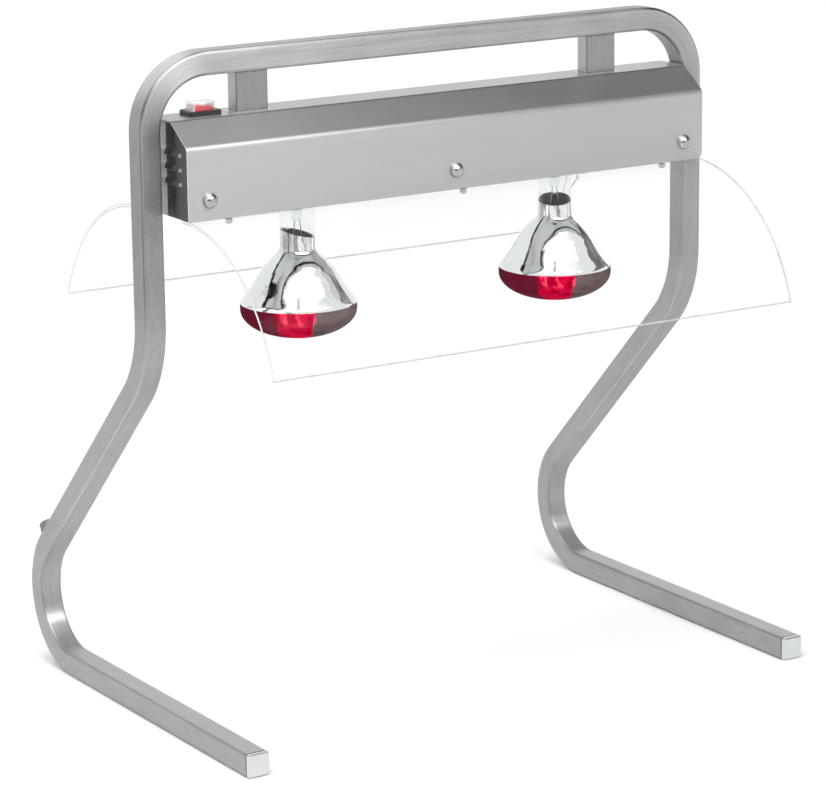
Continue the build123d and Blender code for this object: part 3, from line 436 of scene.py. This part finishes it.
def acrylic_build(g):
    x, y, z = g.pos()
    v = g.vec(x, y, z)
    n = g.noise(v, 12.0, 2.0, 0.5)
    wipe = g.noise(g.vec(x * 30.0, y * 160.0, z * 160.0), 1.0, 3.0, 0.6).step(0.55, 0.9)
    end = x.abs().step(0.31270, 0.31290)
    yy = y - Y0
    back = (yy > 0.0)
    qy = (yy.abs() - (back * 0.010 + 0.045)).max(0.0)
    qz = z - 0.3531
    t = (qy * qy + qz * qz).sqrt() - 0.1754               # place within the sheet's thickness
    rim = t.abs().step(0.00075, 0.00120)
    foot = z.step(0.4009, 0.4004) * (y < 0.0)
    foot = foot.max(z.step(0.4110, 0.4105) * (y > 0.0))
    # the sawn ends are made frosted, and painted light on them: pale through the middle of the thickness, with painted
    # dark lines at both faces
    col = g.mixc(end, grey(g, 0.975, 0.99, n, (0.99, 1.0, 1.0)), g.mixc(rim, (0.88, 0.89, 0.89), (0.34, 0.345, 0.345)))
    # painted light and shade along the lower edges: pale in front, grey at the back
    col = g.mixc(foot, col, g.mixc(back, (0.50, 0.51, 0.51), (0.82, 0.83, 0.83)))
    return {"Base Color": col, "Roughness": wipe * 0.02 + end.max(foot) * 0.35,
            "Transmission Weight": 1.0 - end.max(foot) * 0.88, "Normal": g.bump(n, 0.01, 0.0004)}


M_ACRYLIC = material("clear_acrylic", acrylic_build, IOR=1.07, Specular_IOR_Level=0.3)


def plastic(name, lo, hi, rough0, tex=900.0, strength=0.2, coat=0.0, tint=(1, 1, 1), **k):
    def build(g):
        x, y, z = g.pos()
        v = g.vec(x, y, z)
        grain = g.noise(v, tex, 3.0, 0.6)
        c = g.noise(v, 45.0, 3.0, 0.6)
        wear = g.noise(v, 160.0, 4.0, 0.7).step(0.60, 0.75)
        return {"Base Color": g.ramp(c, [(0.25, lo), (0.75, hi)]), "Roughness": grain.to(-0.05, 0.05) + rough0 + wear * 0.08,
                "Normal": g.bump(grain, strength, 0.00025)}

    return material(name, build, Coat_Weight=coat, **k)


M_BLACK = plastic("black_plastic", (0.008, 0.008, 0.009), (0.016, 0.016, 0.018), 0.42)
M_ROCKER = plastic("red_plastic", (0.72, 0.016, 0.040), (0.88, 0.028, 0.060), 0.28, 1200.0, 0.08, 0.4)


def boot_build(g):
    x, y, z = g.pos()
    v = g.vec(x, y, z)
    n = g.noise(v, 300.0, 3.0, 0.6)
    wall = (x - SWITCH_X).abs().step(0.0104, 0.0112) * z.step(0.6385, 0.6378)
    return {"Base Color": grey(g, 0.93, 0.99, n, (1.0, 0.985, 0.985)), "Roughness": n.to(0.02, 0.08) + wall * 0.25,
            "Transmission Weight": 0.97 - wall * 0.45, "Normal": g.bump(n, 0.05, 0.0003)}


M_BOOT = material("clear_silicone", boot_build, IOR=1.25)
M_GREY = plastic("grey_polyamide", (0.10, 0.10, 0.102), (0.24, 0.24, 0.242), 0.35, 700.0, 0.3)
M_CERAMIC = plastic("steatite", (0.70, 0.68, 0.62), (0.80, 0.78, 0.73), 0.25, 500.0, 0.12, 0.4)
M_BROWN = plastic("lead_brown", (0.10, 0.035, 0.012), (0.15, 0.055, 0.02), 0.4)
M_BLUE = plastic("lead_blue", (0.012, 0.05, 0.22), (0.02, 0.07, 0.30), 0.4)


def earth_build(g):
    x, y, z = g.pos()
    band = ((y * 220.0).sin()).step(-0.15, 0.15)
    col = g.mixc(band, (0.05, 0.26, 0.03), (0.70, 0.60, 0.03))
    n = g.noise(g.vec(x, y, z), 900.0, 2.0, 0.5)
    return {"Base Color": col, "Roughness": n.to(0.35, 0.45), "Normal": g.bump(n, 0.1, 0.0002)}


M_EARTH = material("lead_earth", earth_build)

LOOKS = {
    "frame_bar": M_BAR, "housing_cover": M_COVER, "bottom_pan": M_PAN, "post_screws": M_ZINC, "cover_screws": M_CHROME,
    "cover_nuts": M_ZINC, "guard_front": M_ACRYLIC, "guard_back": M_ACRYLIC, "guard_screws": M_ZINC, "guard_nuts": M_ZINC,
    "holder_screws": M_ZINC, "bracket_rivets": M_ZINC, "switch_bezel": M_BLACK, "switch_body": M_BLACK,
    "switch_rocker": M_ROCKER, "switch_boot": M_BOOT, "switch_blades": M_BRASS, "terminal_block": M_CERAMIC,
    "terminal_screws": M_BRASS, "earth_stud": M_BRASS, "wire_live": M_BROWN, "wire_neutral": M_BLUE, "wire_earth": M_EARTH,
    "gland_body": M_GREY, "gland_nut": M_GREY, "gland_lock_nut": M_GREY,
}
for s in ("left", "right"):
    LOOKS.update({
        "leg_" + s: M_LEG, "foot_cap_" + s: M_CAP, "post_" + s: M_POST, "end_plate_" + s: M_PLATE,
        "lampholder_" + s: M_CERAMIC, "lampholder_" + s + "_sleeve": M_NICKEL, "lampholder_" + s + "_tongue": M_BRASS,
        "bracket_" + s: M_ZINC, "lamp_" + s + "_red_face": M_RED, "lamp_" + s + "_reflector": M_MIRROR,
        "lamp_" + s + "_neck": M_GLASS, "lamp_" + s + "_stem": M_STEM, "lamp_" + s + "_filament": M_TUNGSTEN,
        "lamp_" + s + "_screw_cap": M_NICKEL, "lamp_" + s + "_contact": M_BRASS,
    })
for name, o in NODES.items():
    for slot in o.material_slots:
        slot.link = "OBJECT"
        slot.material = LOOKS[name]

# ------------------------------------------------------------------ floor, light and camera
bpy.ops.mesh.primitive_grid_add(x_subdivisions=4, y_subdivisions=4, size=40.0, location=(0, 0, -0.0004))
floor = bpy.context.object
floor.name = "floor"


def floor_build(g):
    x, y, z = g.pos()
    n = g.noise(g.vec(x, y, z), 3.0, 3.0, 0.5)
    away = (x * x + y * y).sqrt().step(1.0, 3.2)          # a shade paler where the lamps reach less
    return {"Base Color": grey(g, 0.88, 0.98, (n * 0.3 + away * 0.7)), "Roughness": n.to(0.70, 0.80)}


floor.data.materials.append(material("pale_floor", floor_build, Specular_IOR_Level=0.1))

world = bpy.data.worlds.new("studio")
bpy.context.scene.world = world
world.use_nodes = True
wt = world.node_tree
wt.nodes.clear()
wg = Graph(wt)
tc = wt.nodes.new("ShaderNodeTexCoord")
sp = wt.nodes.new("ShaderNodeSeparateXYZ")
wt.links.new(tc.outputs["Generated"], sp.inputs[0])
dx, dy, dz = (S(wg, sp.outputs[i]) for i in range(3))


def lobe(v, a, b):
    """0 away from direction v, rising to 1 at it: a and b are cosines."""
    v = Vector(v).normalized()
    return (dx * v.x + dy * v.y + dz * v.z).step(a, b)


env = dz.step(0.0, 0.6).to(1.12, 1.46)
env = env * (lobe((-0.23, 0.82, 0.51), 0.70, 0.95) * -0.50 + 1.0)
env = env * (dx.step(0.26, 0.57) * dz.step(0.05, 0.45) * -0.87 + 1.0)
env = env * ((dy * 0.77 - dz * 0.64).abs().step(0.25, 0.08) * dx.step(0.22, 0.40) * (dz > 0.2) * -0.60 + 1.0)
env = env * (lobe((-0.53, -0.85, 0.12), 0.84, 0.96) * -0.70 + 1.0)
back = (dz * 0.927 - dy * 0.375).abs().step(0.22, 0.08) * dy.step(0.1, 0.3) * dx.step(0.40, 0.22) * dx.step(-0.6, -0.2)
env = env + back * 1.2
far = (dz * 0.914 - dy * 0.407).abs().step(0.20, 0.06) * dy.step(0.1, 0.3) * dx.step(0.40, 0.52) * dx.step(0.95, 0.75)
env = env + far * 1.25
lp = wt.nodes.new("ShaderNodeLightPath")
seen = S(wg, lp.outputs["Is Camera Ray"]).max(S(wg, lp.outputs["Is Transmission Ray"]))
level = env + (1.0 - env) * seen
bg = wt.nodes.new("ShaderNodeBackground")
bg.inputs["Color"].default_value = (1.0, 1.0, 1.0, 1.0)
wt.links.new(level.sock, bg.inputs["Strength"])
wo = wt.nodes.new("ShaderNodeOutputWorld")
wt.links.new(bg.outputs[0], wo.inputs[0])


def softbox(name, loc, at, size, size_y, radiance, soft=0.35):
    """A rectangular softbox whose light fades towards its rim."""
    d = bpy.data.lights.new(name, "AREA")
    d.shape, d.size, d.size_y = "RECTANGLE", size, size_y
    d.energy = radiance * math.pi * size * size_y
    d.use_nodes = True
    nt = d.node_tree
    nt.nodes.clear()
    g = Graph(nt)
    geo = nt.nodes.new("ShaderNodeNewGeometry")
    sep = nt.nodes.new("ShaderNodeSeparateXYZ")
    nt.links.new(geo.outputs["Parametric"], sep.inputs[0])
    u, v = S(g, sep.outputs[0]), S(g, sep.outputs[1])
    k = (u.min(1.0 - u)).step(0.0, soft) * (v.min(1.0 - v)).step(0.0, soft)
    em = nt.nodes.new("ShaderNodeEmission")
    nt.links.new(k.sock, em.inputs["Strength"])
    out = nt.nodes.new("ShaderNodeOutputLight")
    nt.links.new(em.outputs[0], out.inputs[0])
    o = bpy.data.objects.new(name, d)
    bpy.context.scene.collection.objects.link(o)
    o.location = loc
    o.rotation_mode = "QUATERNION"
    o.rotation_quaternion = (Vector(at) - Vector(loc)).to_track_quat("-Z", "Y")
    o.visible_camera = False
    return o


softbox("front_left", (-0.8, -1.0, 2.3), (0, 0, 0.2), 2.4, 2.4, 2.1)
softbox("overhead", (-0.5, 0.1, 2.5), (-0.5, 0.1, 0), 1.1, 1.6, 2.2)
softbox("front_low", (0.10, -1.7, 1.6), (0.3, 0, 0.3), 0.9, 0.9, 1.6)
# a long strip light that only shows as a highlight, and a fill that only lights matt things
strip = softbox("strip", (-0.25, -1.2, 1.72), (-0.25, 0.1, 0.1), 2.7, 0.42, 13.0, 0.30)
strip.visible_diffuse = False
fill = softbox("fill", (0.1, -0.4, 2.6), (0.1, -0.2, 0.0), 3.0, 3.0, 0.30, 0.30)
fill.visible_glossy = False

cam_data = bpy.data.cameras.new("camera")
cam = bpy.data.objects.new("camera", cam_data)
bpy.context.scene.collection.objects.link(cam)
bpy.context.scene.camera = cam
cam_data.sensor_fit, cam_data.sensor_width, cam_data.lens = "HORIZONTAL", 36.0, 153.87
cam_data.clip_start, cam_data.clip_end = 0.1, 60.0
yaw, pitch, roll = 0.5586, -0.2423, -0.0115
fwd = Vector((math.sin(yaw) * math.cos(pitch), math.cos(yaw) * math.cos(pitch), math.sin(pitch)))
right = Vector((math.cos(yaw), -math.sin(yaw), 0.0))
up = right.cross(fwd)
r2 = right * math.cos(roll) + up * math.sin(roll)
u2 = up * math.cos(roll) - right * math.sin(roll)
cam.matrix_world = Matrix(((r2.x, u2.x, -fwd.x, -1.94226), (r2.y, u2.y, -fwd.y, -3.10130),
                           (r2.z, u2.z, -fwd.z, 1.19854), (0, 0, 0, 1)))

bpy.context.scene.view_settings.view_transform = "Standard"
bpy.context.scene.view_settings.look = "None"
